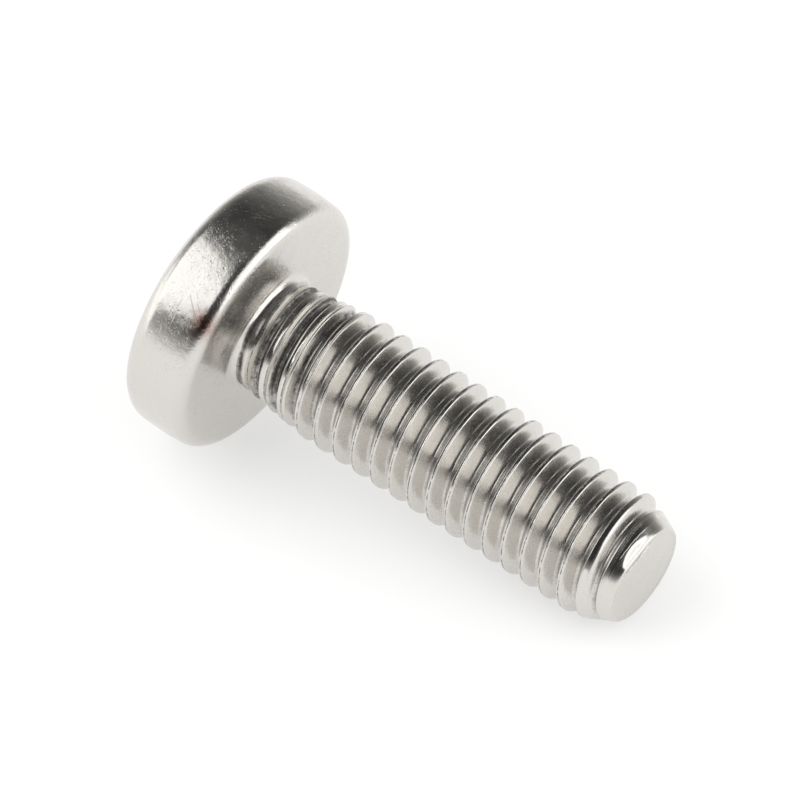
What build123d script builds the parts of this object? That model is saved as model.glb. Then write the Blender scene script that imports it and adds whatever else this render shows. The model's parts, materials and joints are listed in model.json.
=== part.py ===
from build123d import *
import os
from math import asin, atan2, cos, radians, sin, sqrt, tan

# Pan-head machine screw with a cross recess, thread M5 x 0.8, lying on its side.
# Lengths are in millimetres and angles in degrees. Distances along the screw are
# measured from the bearing face under the head, and are positive towards the tip.

# head
head_diameter = 9.65
head_height = 3.6
dome_radius = 10.5
bearing_edge_radius = 0.5
crown_edge_radius = 0.7
side_draft = 2.0

# shank: short neck, cone over the run-out, plain cylinder over the crests, tip cone
screw_length = 16.1
thread_diameter = 4.84
neck_diameter = 4.08
neck_length = 0.4
neck_fillet_radius = 0.34
run_out_length = 2.9
tip_diameter = 3.64
tip_angle = 24.0
tip_edge_radius = 0.1

# cross recess, type H number 2
recess_width = 4.9
recess_depth = 2.45
recess_cone_angle = 26.5
recess_point_angle = 20.0
wing_width = 1.3
wing_draft = 5.75
wing_corner_radius = 0.35

head_radius = head_diameter / 2
thread_radius = thread_diameter / 2
neck_radius = neck_diameter / 2
tip_radius = tip_diameter / 2
thread_start = neck_length + run_out_length
thread_end = screw_length - (thread_radius - tip_radius) / tan(radians(tip_angle))

# It lies on the rounded lower edge of its head and on the thread's last full turn. Its
# axis dips towards the tip by the angle of the straight line that touches both of them.
edge_along = -bearing_edge_radius
edge_out = head_radius - bearing_edge_radius
contact_run = thread_end - edge_along
contact_rise = edge_out - thread_radius
contact_span = sqrt(contact_run**2 + contact_rise**2)
dip = atan2(contact_rise, contact_run) + asin(bearing_edge_radius / contact_span)
seat_height = thread_end * sin(dip) + thread_radius * cos(dip)

# The origin is on the surface that it lies on, under the middle of its length. The two
# ends of that length are a point of the dome and a point of the tip's rounded edge.
dome_along = dome_radius - head_height
tip_round_out = tip_radius - tip_edge_radius * (1 - sin(radians(tip_angle))) / cos(radians(tip_angle))
head_limit = dome_along * cos(dip) - dome_radius
tip_limit = (screw_length - tip_edge_radius) * cos(dip) + tip_round_out * sin(dip) + tip_edge_radius
seat_x = -(head_limit + tip_limit) / 2

# section plane: x is the distance along the screw and y the distance from its axis
seat_centre = (seat_x, 0, seat_height)
tipward = (cos(dip), 0, -sin(dip))
section = Plane(origin=seat_centre, x_dir=tipward, z_dir=(0, -1, 0))
screw_axis = Axis(seat_centre, tipward)

# The head's side leans in by the draft, and starts where the bearing edge's round ends.
draft = radians(side_draft)
side_start = (
    edge_along - bearing_edge_radius * sin(draft),
    edge_out + bearing_edge_radius * cos(draft),
)
edge_middle = (
    edge_along + bearing_edge_radius * cos(radians(45) + draft / 2),
    edge_out + bearing_edge_radius * sin(radians(45) + draft / 2),
)

# The crown's round touches the side and the dome: its centre is one round inside both.
inside_side = (
    (dome_along - side_start[0]) * sin(draft)
    + side_start[1] * cos(draft)
    - crown_edge_radius
)
inside_dome = sqrt((dome_radius - crown_edge_radius) ** 2 - inside_side**2)
crown_along = dome_along - inside_side * sin(draft) - inside_dome * cos(draft)
crown_out = inside_side * cos(draft) - inside_dome * sin(draft)
crown_turn = atan2(crown_out, dome_along - crown_along)
crown_half = (radians(270) + draft - crown_turn) / 2
side_finish = (
    crown_along - crown_edge_radius * sin(draft),
    crown_out + crown_edge_radius * cos(draft),
)
crown_middle = (
    crown_along + crown_edge_radius * cos(crown_half),
    crown_out + crown_edge_radius * sin(crown_half),
)
dome_finish = (
    dome_along - dome_radius * cos(crown_turn),
    dome_radius * sin(crown_turn),
)
dome_middle = (
    dome_along - dome_radius * cos(crown_turn / 2),
    dome_radius * sin(crown_turn / 2),
)
apex = (-head_height, 0)

# The fillet under the head is a quarter round from the neck to the bearing face.
fillet_out = neck_radius + neck_fillet_radius
fillet_inset = neck_fillet_radius * (1 - cos(radians(45)))
fillet_middle = (fillet_inset, neck_radius + fillet_inset)

# The recess has four drafted wings, trimmed to a cone that ends in a blunt point. Its
# width is measured where the wings meet the dome, and its depth from there.
rim_along = dome_along - sqrt(dome_radius**2 - (recess_width / 2) ** 2)
floor_along = rim_along + recess_depth
floor_radius = recess_width / 2 - recess_depth * tan(radians(recess_cone_angle))
point_along = floor_along + floor_radius * tan(radians(recess_point_angle))

# The cutting form starts clear above the dome.
mouth_along = -head_height - 1
mouth_rise = rim_along - mouth_along
mouth_radius = recess_width / 2 + mouth_rise * tan(radians(recess_cone_angle))
mouth_wing = wing_width + 2 * mouth_rise * tan(radians(wing_draft))
mouth_centre = (
    seat_x + mouth_along * cos(dip),
    0,
    seat_height - mouth_along * sin(dip),
)
mouth_plane = Plane(origin=mouth_centre, x_dir=(0, 1, 0), z_dir=tipward)

with BuildPart() as recess_form:
    with BuildSketch(mouth_plane) as cross:
        Rectangle(2 * mouth_radius + 1, mouth_wing)
        Rectangle(mouth_wing, 2 * mouth_radius + 1)
        fillet(cross.vertices().sort_by_distance((0, 0, 0))[0:4], wing_corner_radius)
    extrude(amount=point_along - mouth_along, taper=wing_draft)
    with BuildSketch(section):
        with BuildLine():
            Polyline(
                (mouth_along, 0),
                (mouth_along, mouth_radius),
                (floor_along, floor_radius),
                (point_along, 0),
                close=True,
            )
        make_face()
    revolve(axis=screw_axis, mode=Mode.INTERSECT)

with BuildPart() as screw:
    with BuildSketch(section) as outline:
        with BuildLine():
            Line(apex, (screw_length, 0))
            Line((screw_length, 0), (screw_length, tip_radius))
            Line((screw_length, tip_radius), (thread_end, thread_radius))
            Line((thread_end, thread_radius), (thread_start, thread_radius))
            Line((thread_start, thread_radius), (neck_length, neck_radius))
            Line((neck_length, neck_radius), (neck_fillet_radius, neck_radius))
            ThreePointArc((neck_fillet_radius, neck_radius), fillet_middle, (0, fillet_out))
            Line((0, fillet_out), (0, edge_out))
            ThreePointArc((0, edge_out), edge_middle, side_start)
            Line(side_start, side_finish)
            ThreePointArc(side_finish, crown_middle, dome_finish)
            ThreePointArc(dome_finish, dome_middle, apex)
        make_face()
        fillet(outline.vertices().sort_by(Axis.X)[-2:].sort_by(Axis.Y)[-1], tip_edge_radius)
    revolve(axis=screw_axis)
    add(recess_form.part, mode=Mode.SUBTRACT)

screw.part.label = "screw"
os.makedirs("parts", exist_ok=True)
export_step(screw.part, "parts/screw.step")
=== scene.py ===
import json
import bpy
import bmesh
import numpy as np
from functools import partial
from math import asin, atan2, cos, pi, radians, sin, tan
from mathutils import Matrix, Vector


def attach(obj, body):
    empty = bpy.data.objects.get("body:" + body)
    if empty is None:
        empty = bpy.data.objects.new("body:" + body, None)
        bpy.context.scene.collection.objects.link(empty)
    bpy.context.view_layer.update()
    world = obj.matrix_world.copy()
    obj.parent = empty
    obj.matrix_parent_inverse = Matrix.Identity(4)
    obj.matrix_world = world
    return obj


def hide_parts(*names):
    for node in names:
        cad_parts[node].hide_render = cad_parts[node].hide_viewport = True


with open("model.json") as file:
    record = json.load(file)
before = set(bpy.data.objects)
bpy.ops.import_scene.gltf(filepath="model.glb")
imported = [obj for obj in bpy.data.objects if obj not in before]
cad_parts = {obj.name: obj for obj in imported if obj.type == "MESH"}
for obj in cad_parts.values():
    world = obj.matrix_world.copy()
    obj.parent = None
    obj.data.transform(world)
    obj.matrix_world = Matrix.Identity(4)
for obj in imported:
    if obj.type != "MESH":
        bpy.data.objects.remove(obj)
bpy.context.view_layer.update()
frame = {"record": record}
print("frame loaded")

mm = 0.001

# The screw is one grid: columns are angles round its axis, rows run from the recess to the end.
grid = {
    "columns": 128,
    "seamAt": -2.5,     # radians; the seam runs along the underside
    "recessFloor": 8,   # rows in each stretch
    "recessWall": 14,
    "recessLip": 6,
    "dome": 16,
    "crown": 14,
    "side": 9,
    "bearingEdge": 12,
    "bearingFace": 10,
    "neckRound": 10,
    "tipEdge": 7,
    "endFace": 44,
}

# How the screw lies comes from the CAD: its bearing face's mount gives the height and the
# direction of the screw's axis, which dips towards the tip and has no sideways part.
bearingFace = next(m for m in frame["record"]["mounts"] if m["name"] == "bearing_face")
pose = {
    "seat": (bearingFace["pos_m"][0] / mm, 0.0, bearingFace["pos_m"][2] / mm),     # mm
    "dip": asin(-bearingFace["axis"][2]),                                          # radians
}

headSizes = {       # mm and degrees; distances along the screw start at the bearing face
    "diameter": 9.65,
    "height": 3.6,
    "domeRadius": 10.5,
    "widestAt": -1.3,
    "sideRadius": 10.0,
    "bearingEdge": 0.5,
    "crownStart": 4.2,      # how far the side has leant in where the crown's round starts
    "faceInner": 2.39,      # the neck's round takes over from the bearing face here
}

recessSizes = {     # cross recess, type H number 2
    "width": 4.9,
    "depth": 2.45,
    "coneAngle": 26.5,
    "pointAngle": 20.0,
    "wing": 1.3,
    "draft": 5.75,
    "corner": 0.35,
    "rim": 0.09,
    "solveSteps": 6,        # the wall's edges on the dome and on the floor are found by repeating
}

shankSizes = {      # M5 x 0.8 right-hand rolled thread
    "length": 16.1,
    "major": 4.84,
    "pitch": 0.8,
    "root": 3.86,
    "flankAngle": 30.0,     # degrees from straight across the screw
    "rootRadius": 0.1126,
    "rootLift": 0.06,       # the root is this much shallower where the ridges start
    "neckFillet": 0.34,
    "blank": 4.08,          # the bar before rolling, seen in the run-out between the ridges
    "growFrom": 0.2,        # the rolled ridges start here
    "growTo": 3.3,          # and meet as a full crest here
    "tipDiameter": 3.64,
    "tipAngle": 24.0,
    "tipEdge": 0.14,
    "chipAt": 1.55,         # shearing took a flat off the end's edge: distance from the axis,
    "chipTowards": 23.0,    # direction and slope
    "chipSlope": 34.5,
    "lapInside": 0.14,      # a thin lap runs alongside the flat, this much nearer the axis
    "lapWidth": 0.045,
    "lapDepth": 0.11,
    "lapReach": 0.75,       # to each side of its middle
    "faceSunk": 0.03,       # the end face lies this far inside its edge
    "faceWave": 0.05,
    "phase": 0.0727,        # where round the screw the helix starts, in turns
    "seam": 0.03,           # groove that rolling leaves along the crest
    "runOutDish": 0.05,     # and how much deeper it is halfway along the run-out
    "ridgeRound": 0.015,
    # the grid's rows by their distance from the crest, close together where it is sharp
    "rowsFromCrest": (0, 0.013, 0.024, 0.035, 0.048, 0.062, 0.08, 0.105,
                      0.14, 0.18, 0.22, 0.26, 0.3025, 0.345, 0.4),
}


def arc(centre, radius, start, end, count):
    # points of a circle about (along, out), by the angle of its outward normal from the radius
    angle = np.radians(np.linspace(start, end, count))
    return np.stack([centre[0] + radius * np.sin(angle), centre[1] + radius * np.cos(angle)], 1)


def headProfile(size):
    # Crown, barrelled side and bearing edge are three arcs that share their tangents, then the
    # flat bearing face. The crown's radius is solved so that it also touches the dome.
    edge, side = size["bearingEdge"], size["sideRadius"]
    widest, out = size["widestAt"], size["diameter"] / 2
    lean = np.degrees(asin((-widest - edge) / (side - edge)))
    sideCentre = (widest, out - side)
    edgeCentre = (sideCentre[0] + (side - edge) * sin(radians(lean)),
                  sideCentre[1] + (side - edge) * cos(radians(lean)))
    crown = radians(size["crownStart"])
    startAlong, startOut = widest - side * sin(crown), out - side + side * cos(crown)
    domeAlong = size["domeRadius"] - size["height"]
    # the round of radius t touches the dome where |centre - dome centre| = dome radius - t
    dx, dy = startAlong - domeAlong, startOut
    nx, ny = -sin(crown), cos(crown)
    reach = size["domeRadius"]
    t = (reach**2 - dx**2 - dy**2) / (2 * (reach - (dx * nx + dy * ny)))
    centre = (startAlong - t * nx, startOut - t * ny)
    turn = np.degrees(atan2(domeAlong - centre[0], centre[1]))
    print("crown round", round(t, 3), "mm, lean", round(lean, 2), "dome edge", round(turn, 1))
    faceOut = np.linspace(edgeCentre[1], size["faceInner"], grid["bearingFace"])[1:]
    profile = np.concatenate([
        arc(centre, t, -turn, -size["crownStart"], grid["crown"]),
        arc(sideCentre, side, -size["crownStart"], lean, grid["side"])[1:],
        arc(edgeCentre, edge, lean, 90, grid["bearingEdge"])[1:],
        np.stack([np.zeros_like(faceOut), faceOut], 1),
    ])
    return profile, domeAlong


def crossOutline(phi, half, corner):
    # distance from the axis to the outline of a cross whose wings are 2 * half wide, with
    # rounded inner corners: half / sin(angle from the wing's middle), or the corner's circle
    fold = np.abs((phi + pi / 4) % (pi / 2) - pi / 4)
    straight = half / np.maximum(np.sin(fold), 1e-6)
    middle = half + corner
    onRay = middle * (np.cos(fold) + np.sin(fold))
    curved = onRay - np.sqrt(np.maximum(onRay**2 - 2 * middle**2 + corner**2, 0))
    return np.where(fold > np.arctan2(half, middle), curved, straight)


def headTop(size, recess, domeAlong, edgeRadius, phi):
    # Recess floor, wall and rim, then the dome out to the crown. Each column is one angle:
    # the wall stands on the cross or on the cone round it, whichever is nearer the axis. The
    # rim is a curve with three control points: (1 - t)^2 a + 2 t (1 - t) b + t^2 c.
    def onDome(r):
        return domeAlong - np.sqrt(size["domeRadius"]**2 - r**2)

    def wall(z):
        half = recess["wing"] / 2 - (z - rimAlong) * draft
        return np.minimum(crossOutline(phi, half, recess["corner"]),
                          recess["width"] / 2 - (z - rimAlong) * cone)

    rimAlong = onDome(recess["width"] / 2)
    cone, draft = tan(radians(recess["coneAngle"])), tan(radians(recess["draft"]))
    floorAlong = rimAlong + recess["depth"]
    floorRadius = recess["width"] / 2 - recess["depth"] * cone
    slope = tan(radians(recess["pointAngle"]))
    top = np.full_like(phi, rimAlong)
    foot = np.full_like(phi, floorAlong)
    for _ in range(recess["solveSteps"]):
        top = onDome(wall(top))
        foot = floorAlong + (floorRadius - wall(foot)) * slope
    rim = recess["rim"]
    wallTop = top + rim
    rimOut, footOut = wall(top), wall(foot)
    lipOut = rimOut + rim

    t = np.linspace(0, 1, grid["recessFloor"])[:, None]
    floorR = footOut * t
    floorZ = foot + (footOut - floorR) * slope
    t = np.linspace(0, 1, grid["recessWall"])[1:, None]
    wallZ = foot + (wallTop - foot) * t
    wallR = wall(wallZ)
    t = np.linspace(0, 1, grid["recessLip"])[1:, None]
    low, middle, high = (1 - t) ** 2, 2 * t * (1 - t), t**2
    lipZ = low * wallTop + middle * top + high * onDome(lipOut)
    lipR = low * wall(wallTop) + middle * rimOut + high * lipOut
    t = np.linspace(0, 1, grid["dome"])[1:, None]
    domeR = lipOut + (edgeRadius - lipOut) * t
    domeZ = onDome(domeR)
    return np.concatenate([floorZ, wallZ, lipZ, domeZ]), np.concatenate([floorR, wallR, lipR, domeR])


def filletRows(size, phi):
    # quarter round from the bearing face to the start of the thread, which is not quite
    # circular: f (1 - cos a) along the screw, and f (1 - sin a) out from the thread
    f = size["neckFillet"]
    neck = threadRadius(size, np.full_like(phi, f), phi)
    a = np.radians(np.linspace(0, 90, grid["neckRound"]))[:, None]
    return np.broadcast_arrays(f * (1 - np.cos(a)), neck + f * (1 - np.sin(a)))


def threadRows(size, phi):
    # Rows follow the helix. A row is a distance s from a crest, the same all the way round,
    # and its place along the screw is pitch * (turn + phi / 2 pi) + s, held inside the shank.
    pitch = size["pitch"]
    half = np.array(size["rowsFromCrest"])
    offsets = np.concatenate([-half[:0:-1], half[:-1]])
    start, end = size["neckFillet"], size["length"] - size["tipEdge"]
    turns = np.arange(-2, int(end / pitch) + 2)
    w = ((turns[:, None] + 0.5 + size["phase"]) * pitch + offsets[None, :]).ravel()
    z = w[:, None] + pitch * phi[None, :] / (2 * pi)
    z = np.clip(z, start, end)
    keep = (z.max(1) > start) & (z.min(1) < end)
    first, last = np.argmax(keep), len(keep) - np.argmax(keep[::-1])
    z = z[max(first - 1, 0):last + 1]
    return z, threadRadius(size, z, phi[None, :])


def threadRadius(size, z, phi):
    # Height over the root at distance s from the crest: the flanks are straight, leaning by
    # the flank angle, and the root is a round that they touch. In the run-out the flanks stop
    # early, so two ridges stand apart with the bar's own surface dished between them.
    pitch = size["pitch"]
    u = (z / pitch - phi / (2 * pi) - size["phase"]) % 1.0
    s = np.abs(u - 0.5) * pitch
    lean = radians(size["flankAngle"])
    steep = tan(pi / 2 - lean)
    rho = size["rootRadius"]
    fullHeight = (size["major"] - size["root"]) / 2
    bottomFrom = pitch / 2 - rho * cos(lean)
    ridgeAt = bottomFrom - (fullHeight - rho * (1 - sin(lean))) / steep
    flank = fullHeight - (s - ridgeAt) * steep
    bottom = rho - np.sqrt(np.maximum(rho**2 - (pitch / 2 - s) ** 2, 0))
    height = np.where(s > bottomFrom, bottom, flank)
    grow = np.clip((z - size["growFrom"]) / (size["growTo"] - size["growFrom"]), 0, 1)
    root = size["root"] / 2 + size["rootLift"] * (1 - grow)
    top = size["blank"] / 2 + (size["major"] - size["blank"]) / 2 * grow
    ridge = ridgeAt + (fullHeight - (top - root)) / steep
    dished = size["seam"] + size["runOutDish"] * np.sin(pi * np.sqrt(grow))
    dish = dished * (1 - (np.minimum(s, ridge) / ridge) ** 2)
    # the two meet in a small round: -w log(exp(-a / w) + exp(-b / w))
    w = size["ridgeRound"]
    a, b = root + height, top - dish
    low = np.minimum(a, b)
    r = low - w * np.log(np.exp((low - a) / w) + np.exp((low - b) / w))
    cone = size["tipDiameter"] / 2 + (size["length"] - z) * tan(radians(size["tipAngle"]))
    # the chip's plane limits the radius where it cuts into the cone; elsewhere it is far off
    towards = np.maximum(np.cos(phi - radians(size["chipTowards"])), 0.05)
    chip = (size["chipAt"] + (size["length"] - z) / tan(radians(size["chipSlope"]))) / towards
    return np.minimum(np.minimum(r, cone), chip)


def tipRows(size, phi):
    # Rounded edge, then the end face, each as a share of the outline that the chip leaves. The
    # face is slow waves, as shearing leaves it, less a groove for the lap, whose depth follows
    # exp(-(across / width)^2 - (along / reach)^4).
    edge, end = size["tipEdge"], size["length"]
    lean = radians(size["tipAngle"])
    outline = threadRadius(size, np.full_like(phi, end - edge), phi)
    outline = outline / outline.max()
    centreOut = size["tipDiameter"] / 2 - edge * (1 - sin(lean)) / cos(lean)
    a = np.linspace(lean, pi / 2, grid["tipEdge"])[1:, None]
    edgeR = outline * (centreOut + edge * np.cos(a))
    edgeZ = np.broadcast_to(end - edge + edge * np.sin(a), edgeR.shape)
    t = np.linspace(1, 0, grid["endFace"])[1:, None]
    faceR = outline * centreOut * t
    x, y = faceR * np.cos(phi), faceR * np.sin(phi)
    waves = size["faceWave"] * np.sin(1.1 * x + 0.9) * np.cos(0.9 * y - 0.7) * (1 - t**3)
    towards = radians(size["chipTowards"])
    across = x * cos(towards) + y * sin(towards) - size["chipAt"] + size["lapInside"]
    along = y * cos(towards) - x * sin(towards)
    lap = np.exp(-(across / size["lapWidth"]) ** 2 - (along / size["lapReach"]) ** 4)
    faceZ = end - size["faceSunk"] + waves - size["lapDepth"] * lap
    return np.concatenate([edgeZ, faceZ]), np.concatenate([edgeR, faceR])


def place(z, r, phi):
    # a point = seat + z along the axis + r across it, at the angle phi from the top
    dip = pose["dip"]
    tipward = np.array([cos(dip), 0, -sin(dip)])
    upward = np.array([sin(dip), 0, cos(dip)])
    sideward = np.array([0, -1.0, 0])
    return mm * (np.array(pose["seat"]) + z[..., None] * tipward
                 + (r * np.cos(phi))[..., None] * upward
                 + (r * np.sin(phi))[..., None] * sideward)


# Where grime, painted shade and wear lie; distances in mm, angles in degrees round from the top.
marks = {
    "threadFrom": 0.2,
    "endClear": 0.35,           # the rolled surface stops this far short of the end
    "seamClear": 1.3,           # and the crests' seam where the tip's cone cuts them away
    "headGrimeAndShade": (1.4, 4.0),    # grime and painted shade are heaviest up to the first and usual from the second
    "valleyFrom": 0.27,         # distance from the crest
    "valleyWider": 0.08,        # near the head
    "valleyFade": 0.06,
    "seamHalf": 0.018,
    "crestHalf": 0.05,
    "crestFade": 0.04,
    "lapHalf": 0.04,
    "lapEnds": (23.0, 29.0),    # painted shade in the lap groove fades out between these
    "endBand": 0.2,             # the end face is this near the end
    "endInside": 1.76,          # and inside this radius
    "valleyGrimeAndShade": 0.42,        # how much grime and painted shade lie in a valley, and what the run-out adds to that
    "runOutGrimeAndShade": 0.6,
    "runOutHazeAndShade": 0.14,         # grime and painted shade all over the run-out
    "stainAt": (52.0, -0.38),   # on the round under the head, by angle and distance
    "stainSize": (0.45, 0.36),
    "stainOutside": 4.2,        # farther than this from the axis
    "tumbledTo": 0.15,          # the head was tumbled more than the thread could be
    "threadTumbled": 0.06,
    "girthRadius": 2.2,
}


def surfaceMarks(z, r, phi):
    # grime and painted shade darken the thread's valleys, most of all in the run-out by the head
    pitch, end = shankSizes["pitch"], shankSizes["length"]
    turn = (z / pitch - phi / (2 * pi) - shankSizes["phase"]) % 1.0
    s = np.abs(turn - 0.5) * pitch
    onThread = (z > marks["threadFrom"]) & (z < end - marks["endClear"])
    nearest, usual = marks["headGrimeAndShade"]
    nearHead = np.clip((usual - z) / (usual - nearest), 0, 1)
    valleyFrom = marks["valleyFrom"] - marks["valleyWider"] * nearHead
    valley = np.clip((s - valleyFrom) / marks["valleyFade"], 0, 1)
    inValley = valley * (marks["valleyGrimeAndShade"] + marks["runOutGrimeAndShade"] * nearHead)
    grimeAndShade = np.clip(inValley + marks["runOutHazeAndShade"] * nearHead, 0, 1) * onThread
    # and painted shade in the lap groove beside the chip: a dark line where the groove is
    fromChip = phi - radians(shankSizes["chipTowards"])
    lap = np.abs(r * np.cos(fromChip) - shankSizes["chipAt"] + shankSizes["lapInside"])
    fadeFrom, fadeTo = marks["lapEnds"]
    lapEnds = np.clip((fadeTo - np.degrees(np.abs(fromChip))) / (fadeTo - fadeFrom), 0, 1)
    onEnd = (z > end - marks["endBand"]) & (r < marks["endInside"])
    grimeAndShade = np.where(onEnd, np.clip(2 - lap / marks["lapHalf"], 0, 1) * lapEnds, grimeAndShade)
    # seam and polished crest follow the helix; the seam is the groove that gets dots of painted shade
    onCrest = onThread & (z < end - marks["seamClear"])
    seam = np.clip(1.5 - s / marks["seamHalf"], 0, 1) * onCrest
    crest = np.clip(1 - (s - marks["crestHalf"]) / marks["crestFade"], 0, 1) * onThread
    # a faint copper-coloured stain: exp(-(x / width)^2 - (y / height)^2)
    angle, along = marks["stainAt"]
    width, height = marks["stainSize"]
    fromStain = (phi - radians(angle)) * headSizes["diameter"] / 2
    stain = np.exp(-(fromStain / width) ** 2 - ((z - along) / height) ** 2) * (r > marks["stainOutside"])
    tumbled = np.where(z < marks["tumbledTo"], 1.0, marks["threadTumbled"])
    return {"grimeAndShade": grimeAndShade, "stain": stain, "seam": seam, "crest": crest, "rolled": onThread * 1.0,
            "tumbled": tumbled}


def closeSeams(mesh):
    # merges the seam and the two poles, and turns the faces outwards
    form = bmesh.new()
    form.from_mesh(mesh)
    bmesh.ops.remove_doubles(form, verts=form.verts, dist=2e-7)
    bmesh.ops.dissolve_degenerate(form, edges=form.edges, dist=1e-7)
    bmesh.ops.recalc_face_normals(form, faces=form.faces)
    openEdges = [e for e in form.edges if not e.is_manifold]
    print("screw:", len(form.verts), "points,", len(form.faces), "faces,", len(openEdges), "open edges,",
          "volume", round(form.calc_volume() / mm**3, 1), "mm3")
    form.to_mesh(mesh)
    form.free()


def makeScrew():
    # each stretch gives its rows as distance along the screw and distance from its axis
    columns = grid["columns"]
    phi = grid["seamAt"] + np.linspace(0, 2 * pi, columns + 1)
    profile, domeAlong = headProfile(headSizes)
    stretches = [
        headTop(headSizes, recessSizes, domeAlong, profile[0, 1], phi),
        (np.repeat(profile[1:, 0:1], columns + 1, 1), np.repeat(profile[1:, 1:2], columns + 1, 1)),
        filletRows(shankSizes, phi),
        threadRows(shankSizes, phi),
        tipRows(shankSizes, phi),
    ]
    z = np.concatenate([along for along, out in stretches])
    r = np.concatenate([out for along, out in stretches])
    phi = np.repeat(phi[None, :], len(z), 0)
    points = place(z, r, phi)
    index = np.arange(z.size).reshape(z.shape)
    corners = [index[:-1, :-1], index[:-1, 1:], index[1:, 1:], index[1:, :-1]]
    faces = np.stack(corners, -1).reshape(-1, 4)
    mesh = bpy.data.meshes.new("machineScrew")
    mesh.from_pydata(points.reshape(-1, 3).tolist(), [], faces.tolist())
    # UV in mm, round the screw and along it, for marks that follow the rolled thread
    girth = ((phi - grid["seamAt"]) * marks["girthRadius"]).ravel()
    along = (z - shankSizes["pitch"] * phi / (2 * pi)).ravel()
    uv = mesh.uv_layers.new(name="rolling")
    uv.data.foreach_set("uv", np.stack([girth[faces], along[faces]], -1).ravel().astype(np.float32))
    for name, values in surfaceMarks(z, r, phi).items():
        layer = mesh.attributes.new(name, "FLOAT", "POINT")
        layer.data.foreach_set("value", values.ravel().astype(np.float32))
    closeSeams(mesh)
    mesh.polygons.foreach_set("use_smooth", np.ones(len(mesh.polygons), bool))
    mesh.update()
    piece = bpy.data.objects.new("machineScrew", mesh)
    bpy.context.scene.collection.objects.link(piece)
    return piece


def linear(hexColour):
    # sRGB hex to linear: c / 12.92 for dark values, ((c + 0.055) / 1.055)^2.4 for the rest
    parts = [int(hexColour[i:i + 2], 16) / 255 for i in (1, 3, 5)]
    return tuple([c / 12.92 if c <= 0.04045 else ((c + 0.055) / 1.055) ** 2.4 for c in parts] + [1.0])


def addNode(tree, kind, inputs=None, give=0, **settings):
    # adds a node, sets its options, fills or links its inputs and gives back one of its outputs
    node = tree.nodes.new("ShaderNode" + kind)
    for name, value in settings.items():
        setattr(node, name, value)
    for name, value in (inputs or {}).items():
        if isinstance(value, bpy.types.NodeSocket):
            tree.links.new(value, node.inputs[name])
        else:
            node.inputs[name].default_value = value
    return node.outputs[give] if len(node.outputs) else None


# Barrel-polished stainless steel, cold-headed and thread-rolled: it mirrors the room
# softly, with short scratches in all directions, small nicks, and grime and painted shade in the
# valleys.
# Lengths, widths and depths are in mm.
steel = {
    "colour": "#d6d3ce",
    "grimeAndShadeColour": "#2e2a26",
    "stainColour": "#8a5f52",
    "headRoughness": 0.21,
    "threadRoughness": 0.235,
    "crestPolish": 0.15,        # how much smoother the rubbed crests are
    "scratchDulling": 0.12,
    "grimeAndShadeDulling": 0.25,
    "patchRoughness": (-0.04, 0.06),
    "wavesPerMm": 0.8,          # about 1.2 mm from wave to wave, left by the heading die
    "waveDepth": 0.03,
    "grainPerMm": 4.5,          # orange peel of about 0.2 mm, left by the tumbling
    "grainDepth": 0.0075,
    "scratchLength": 1.1,
    "scratchWidth": 0.028,      # a little over life so that they show
    "scratchDepth": 0.0034,
    "scratchSets": (            # how each set is turned, and a shift that sets it apart
        ((0.0, 0.3, 0.5), 3.0),
        ((0.0, -0.9, 1.4), 7.0),
        ((0.0, 0.7, -0.6), 12.0),
        ((0.0, -0.3, -1.2), 18.0),
    ),
    "breaksPerMm": 1.1,         # scratches come and go at this scale
    "nicksPerMm": 2.2,          # dents from other screws in the barrel, about 0.45 mm apart
    "nickDepth": 0.008,
    "streakLength": 1.8,        # drawn along the thread by the rolling dies
    "streakWidth": 0.045,
    "streakDepth": 0.0045,
    "patchesPerMm": 1.7,        # grime and polish are uneven at this scale
    "specksPerMm": 11.0,        # and grime is made of specks of about 0.1 mm
    "dotsPerMm": 4.0,           # dots of painted shade along the crest's seam groove
    "grimeAndShadeDepth": 0.012,
}


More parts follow.
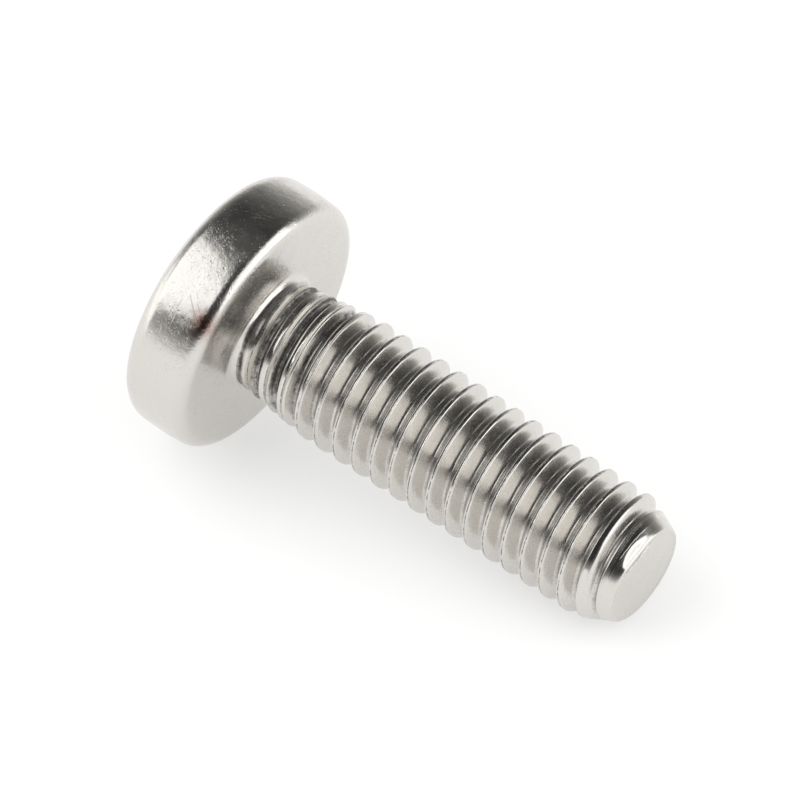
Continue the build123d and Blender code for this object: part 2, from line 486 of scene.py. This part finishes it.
def makeSteel():
    material = bpy.data.materials.new("barrelPolishedStainless")
    material.use_nodes = True
    tree = material.node_tree
    tree.nodes.clear()
    add = partial(addNode, tree)
    coords = add("TexCoord", give="Object")
    where = add("VectorMath", {0: coords, "Scale": 1 / mm}, operation="SCALE")
    uv = add("UVMap", uv_map="rolling")
    mask = {}
    for name in ("grimeAndShade", "stain", "seam", "crest", "rolled", "tumbled"):
        mask[name] = add("Attribute", attribute_name=name, give="Fac")

    # soft waves of the forged surface, and the grain that tumbling leaves on them
    waves = add("TexNoise", {"Vector": where, "Scale": steel["wavesPerMm"], "Detail": 2.0})
    grain = add("TexNoise", {"Vector": where, "Scale": steel["grainPerMm"], "Detail": 5.0,
                             "Roughness": 0.62})
    grain = add("Math", {0: grain, 1: steel["grainDepth"]}, operation="MULTIPLY")

    # each set of scratches is noise drawn out in one direction, cut to its peaks and broken up
    stretch = steel["scratchLength"] / steel["scratchWidth"]
    scratches = 0.0
    for turn, shift in steel["scratchSets"]:
        drawn = add("Mapping", {"Vector": where, "Rotation": turn, "Location": (shift, shift, 0),
                                "Scale": (stretch, 1.0, 1.0)}, vector_type="TEXTURE")
        lines = add("TexNoise", {"Vector": drawn, "Scale": 0.5 / steel["scratchWidth"], "Detail": 1.0})
        lines = add("MapRange", {"Value": lines, "From Min": 0.63, "From Max": 0.78})
        breaks = add("TexNoise", {"Vector": drawn, "Scale": steel["breaksPerMm"], "Detail": 1.0})
        breaks = add("MapRange", {"Value": breaks, "From Min": 0.42, "From Max": 0.6})
        lines = add("Math", {0: lines, 1: breaks}, operation="MULTIPLY")
        grain = add("Math", {0: lines, 1: -steel["scratchDepth"], 2: grain}, operation="MULTIPLY_ADD")
        scratches = add("Math", {0: scratches, 1: lines}, operation="MAXIMUM")
    nicks = add("TexVoronoi", {"Vector": where, "Scale": steel["nicksPerMm"]})
    nicks = add("MapRange", {"Value": nicks, "From Min": 0.03, "From Max": 0.12,
                             "To Min": 1.0, "To Max": 0.0})
    grain = add("Math", {0: nicks, 1: -steel["nickDepth"], 2: grain}, operation="MULTIPLY_ADD")

    # streaks along the thread
    drawn = add("Mapping", {"Vector": uv, "Scale": (0.5 / steel["streakLength"],
                                                    0.5 / steel["streakWidth"], 1)})
    streaks = add("TexNoise", {"Vector": drawn, "Scale": 1.0, "Detail": 2.0, "Roughness": 0.6})
    furrows = add("Math", {0: streaks, 1: steel["streakDepth"]}, operation="MULTIPLY")

    # grime and painted shade: the valleys' mask broken up by streaks, patches and specks, and dots of
    # painted shade on the seam
    patches = add("TexNoise", {"Vector": where, "Scale": steel["patchesPerMm"], "Detail": 4.0,
                               "Roughness": 0.6})
    specks = add("TexNoise", {"Vector": where, "Scale": steel["specksPerMm"], "Detail": 3.0,
                              "Roughness": 0.7})
    grimeAndShade = mask["grimeAndShade"]
    for pattern, low, high, least, most in ((streaks, 0.25, 0.6, 0.35, 1.1),
                                            (patches, 0.3, 0.65, 0.55, 1.1),
                                            (specks, 0.3, 0.62, 0.6, 1.2)):
        share = add("MapRange", {"Value": pattern, "From Min": low, "From Max": high,
                                 "To Min": least, "To Max": most})
        grimeAndShade = add("Math", {0: grimeAndShade, 1: share}, operation="MULTIPLY")
    grimeAndShade = add("MapRange", {"Value": grimeAndShade, "From Min": 0.15, "From Max": 0.95, "To Max": 0.85})
    # dots of painted shade darken the crest's seam groove
    dots = add("TexNoise", {"Vector": uv, "Scale": steel["dotsPerMm"], "Detail": 4.0,
                            "Roughness": 0.7})
    dots = add("MapRange", {"Value": dots, "From Min": 0.42, "From Max": 0.56, "To Max": 0.9})
    dots = add("Math", {0: mask["seam"], 1: dots}, operation="MULTIPLY")
    grimeAndShade = add("Math", {0: grimeAndShade, 1: dots}, operation="MAXIMUM")
    crust = add("Math", {0: specks, 1: grimeAndShade}, operation="MULTIPLY")

    # all of it as height in mm
    height = add("Math", {0: waves, 1: steel["waveDepth"]}, operation="MULTIPLY")
    height = add("Math", {0: grain, 1: mask["tumbled"], 2: height}, operation="MULTIPLY_ADD")
    height = add("Math", {0: furrows, 1: mask["rolled"], 2: height}, operation="MULTIPLY_ADD")
    height = add("Math", {0: crust, 1: steel["grimeAndShadeDepth"], 2: height}, operation="MULTIPLY_ADD")
    bump = add("Bump", {"Height": height, "Strength": 1.0, "Distance": mm})

    # dark colour where grime and painted shade lie: dirt and painted shade in the valleys, painted shade
    # in the lap and the seam
    colour = add("Mix", {"Factor": grimeAndShade, 6: linear(steel["colour"]), 7: linear(steel["grimeAndShadeColour"])},
                 data_type="RGBA", give=2)
    stain = add("MapRange", {"Value": specks, "From Min": 0.3, "From Max": 0.55,
                             "To Min": 0.6, "To Max": 1.15})
    stain = add("Math", {0: mask["stain"], 1: stain}, operation="MULTIPLY")
    colour = add("Mix", {"Factor": stain, 6: colour, 7: linear(steel["stainColour"])},
                 data_type="RGBA", give=2)

    # patchy polish, dulled by scratches and by grime and painted shade, with the crests rubbed brighter
    smoother, rougher = steel["patchRoughness"]
    rough = add("MapRange", {"Value": patches, "From Min": 0.3, "From Max": 0.7,
                             "To Min": steel["headRoughness"] + smoother,
                             "To Max": steel["headRoughness"] + rougher})
    for part, change in ((mask["rolled"], steel["threadRoughness"] - steel["headRoughness"]),
                         (scratches, steel["scratchDulling"]),
                         (mask["crest"], -steel["crestPolish"]),
                         (grimeAndShade, steel["grimeAndShadeDulling"])):
        rough = add("Math", {0: part, 1: change, 2: rough}, operation="MULTIPLY_ADD")
    shader = add("BsdfPrincipled", {"Base Color": colour, "Metallic": 1.0, "Roughness": rough,
                                    "Normal": bump})
    add("OutputMaterial", {"Surface": shader})
    return material


screw = makeScrew()
screw.data.materials.append(makeSteel())
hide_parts("screw")
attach(screw, "root")
print("screw made")

# studio: a white sheet to lie on, a large soft box on the left and two lower panels
studio = {
    "floorColour": "#f7f7f6",
    "floorHalf": 0.9,               # m
    "floorGlow": 0.5,               # share of plain white that the eye and the metal see
    "room": 0.86,                   # soft light from all round
    "towardsCamera": -50.0,         # the room is darker on this side
    # what the metal sees of the room: height as a sine, and how light it is there
    "farSide": ((0.0, 0.75), (0.19, 0.38), (0.48, 0.14), (0.74, 0.035), (0.9, 0.035), (1.0, 0.08)),
    "nearSide": ((0.0, 0.50), (0.1, 0.22), (0.25, 0.03), (0.9, 0.03), (1.0, 0.08)),
    "roomTint": (1.0, 0.99, 0.97),
}

# direction is azimuth and elevation in degrees, size and distance are in m
lamps = {
    "key": {"direction": (-136, 47), "size": (0.48, 0.38), "distance": 0.36, "power": 0.66,
            "shape": "ELLIPSE"},
    "side": {"direction": (14, 20), "size": (0.42, 0.28), "distance": 0.32, "power": 0.56,
             "shape": "RECTANGLE"},
    "back": {"direction": (-157, 11), "size": (0.32, 0.13), "distance": 0.34, "power": 0.13,
             "shape": "RECTANGLE"},
}


def direction(azimuth, elevation):
    # unit vector (cos e cos a, cos e sin a, sin e)
    a, e = radians(azimuth), radians(elevation)
    return Vector((cos(e) * cos(a), cos(e) * sin(a), sin(e)))


def makeFloor():
    # matt paper, part of which the eye and the metal see as plain white
    half = studio["floorHalf"]
    corners = [(-half, -half, 0), (half, -half, 0), (half, half, 0), (-half, half, 0)]
    mesh = bpy.data.meshes.new("floor")
    mesh.from_pydata(corners, [], [(0, 1, 2, 3)])
    floor = bpy.data.objects.new("floor", mesh)
    bpy.context.scene.collection.objects.link(floor)
    paper = bpy.data.materials.new("whitePaper")
    paper.use_nodes = True
    paper.node_tree.nodes.clear()
    add = partial(addNode, paper.node_tree)
    matt = add("BsdfDiffuse", {"Color": linear(studio["floorColour"])})
    white = add("Emission", {"Color": (1, 1, 1, 1), "Strength": 1.0})
    ray = add("LightPath").node.outputs
    seen = add("Math", {0: ray["Is Camera Ray"], 1: ray["Is Glossy Ray"]}, operation="MAXIMUM")
    share = add("Math", {0: seen, 1: studio["floorGlow"]}, operation="MULTIPLY")
    mixed = add("MixShader", {0: share, 1: matt, 2: white})
    add("OutputMaterial", {"Surface": mixed})
    mesh.materials.append(paper)


def makeLamp(name, lamp):
    # a soft panel that faces the origin
    data = bpy.data.lights.new(name, "AREA")
    data.shape = lamp["shape"]
    data.size, data.size_y = lamp["size"]
    data.energy = lamp["power"]
    light = bpy.data.objects.new(name, data)
    toLight = direction(*lamp["direction"])
    light.location = toLight * lamp["distance"]
    light.rotation_euler = toLight.to_track_quat("Z", "Y").to_euler()
    bpy.context.scene.collection.objects.link(light)


def makeWorld():
    # white to the eye and for soft light; metal sees a dim room, lighter low down
    world = bpy.data.worlds.new("studio")
    world.use_nodes = True
    world.node_tree.nodes.clear()
    bpy.context.scene.world = world
    add = partial(addNode, world.node_tree)
    ray = add("LightPath").node.outputs
    coords = add("TexCoord", give="Generated")
    height = add("SeparateXYZ", {0: coords}, give="Z")
    sides = []
    for stops in (studio["farSide"], studio["nearSide"]):
        shade = add("ValToRGB", {0: height})
        elements = shade.node.color_ramp.elements
        while len(elements) < len(stops):
            elements.new(0.5)
        for element, (at, level) in zip(elements, stops):
            element.position = at
            element.color = [level * tint for tint in studio["roomTint"]] + [1.0]
        sides.append(shade)
    facing = add("VectorMath", {0: coords, 1: direction(studio["towardsCamera"], 0)},
                 operation="DOT_PRODUCT", give="Value")
    fade = add("MapRange", {"Value": facing, "From Min": 0.1, "From Max": 0.7})
    dim = add("Mix", {"Factor": fade, 6: sides[0], 7: sides[1]}, data_type="RGBA", give=2)
    soft = add("Background", {"Color": (1, 1, 1, 1), "Strength": studio["room"]})
    white = add("Background", {"Color": (1, 1, 1, 1), "Strength": 1.0})
    inMetal = add("Background", {"Color": dim, "Strength": 1.0})
    lit = add("MixShader", {0: ray["Is Glossy Ray"], 1: soft, 2: inMetal})
    seen = add("MixShader", {0: ray["Is Camera Ray"], 1: lit, 2: white})
    add("OutputWorld", {"Surface": seen})


makeFloor()
for name, lamp in lamps.items():
    makeLamp(name, lamp)
makeWorld()
print("studio lit")

view = {            # the camera looks along this azimuth and elevation, in degrees
    "azimuth": -52.79,
    "elevation": 41.59,
    "distance": 0.5458,     # m
    "lens": 727.0,          # mm, a long one: the object shows little perspective
    "sensor": 36.0,
    "target": (-0.505e-3, -0.180e-3, 4.756e-3),     # m
    "clip": (0.01, 20.0),
}


def makeCamera():
    camera = bpy.data.objects.new("camera", bpy.data.cameras.new("camera"))
    camera.data.sensor_width = view["sensor"]
    camera.data.lens = view["lens"]
    camera.data.clip_start, camera.data.clip_end = view["clip"]
    toCamera = direction(view["azimuth"], view["elevation"])
    camera.location = Vector(view["target"]) + toCamera * view["distance"]
    camera.rotation_euler = toCamera.to_track_quat("Z", "Y").to_euler()
    bpy.context.scene.collection.objects.link(camera)
    bpy.context.scene.camera = camera


makeCamera()
bpy.context.scene.view_settings.view_transform = "Standard"
print("camera set")
